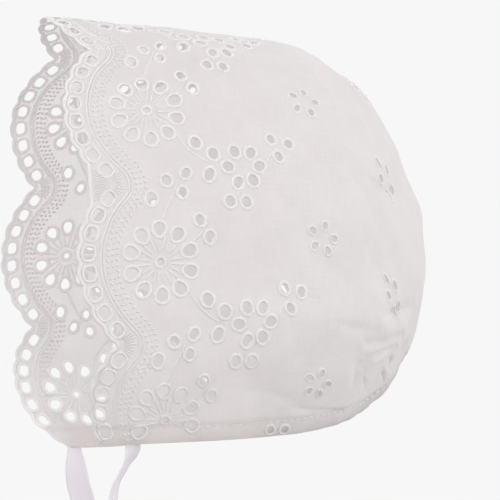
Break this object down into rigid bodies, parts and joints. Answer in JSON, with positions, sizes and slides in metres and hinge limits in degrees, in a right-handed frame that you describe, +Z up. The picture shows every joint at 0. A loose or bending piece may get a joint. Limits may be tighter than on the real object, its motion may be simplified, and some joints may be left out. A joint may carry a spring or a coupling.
{
  "type": "baby bonnet",
  "caption": "Soft cotton baby bonnet with pierced embroidery, a scalloped face edge, a turned-up neck hem and ribbon ties hanging from its front corners.",
  "frame": {"origin": "inside of the crown where it sits on top of the head", "axes": "+Z up, -Y out of the face opening, +X towards the wearer's left"},
  "size_m": [0.132, 0.1597, 0.3568],
  "materials": {
    "cotton": "plain woven white cotton with satin-stitched eyelets",
    "hem": "double layer of the same cotton, stitched",
    "ribbon": "soft satin ribbon"
  },
  "bodies": {
    "root": {"crown": "cotton", "neck_casing": "hem", "tie_left": "ribbon", "tie_right": "ribbon"}
  },
  "joints": []
}
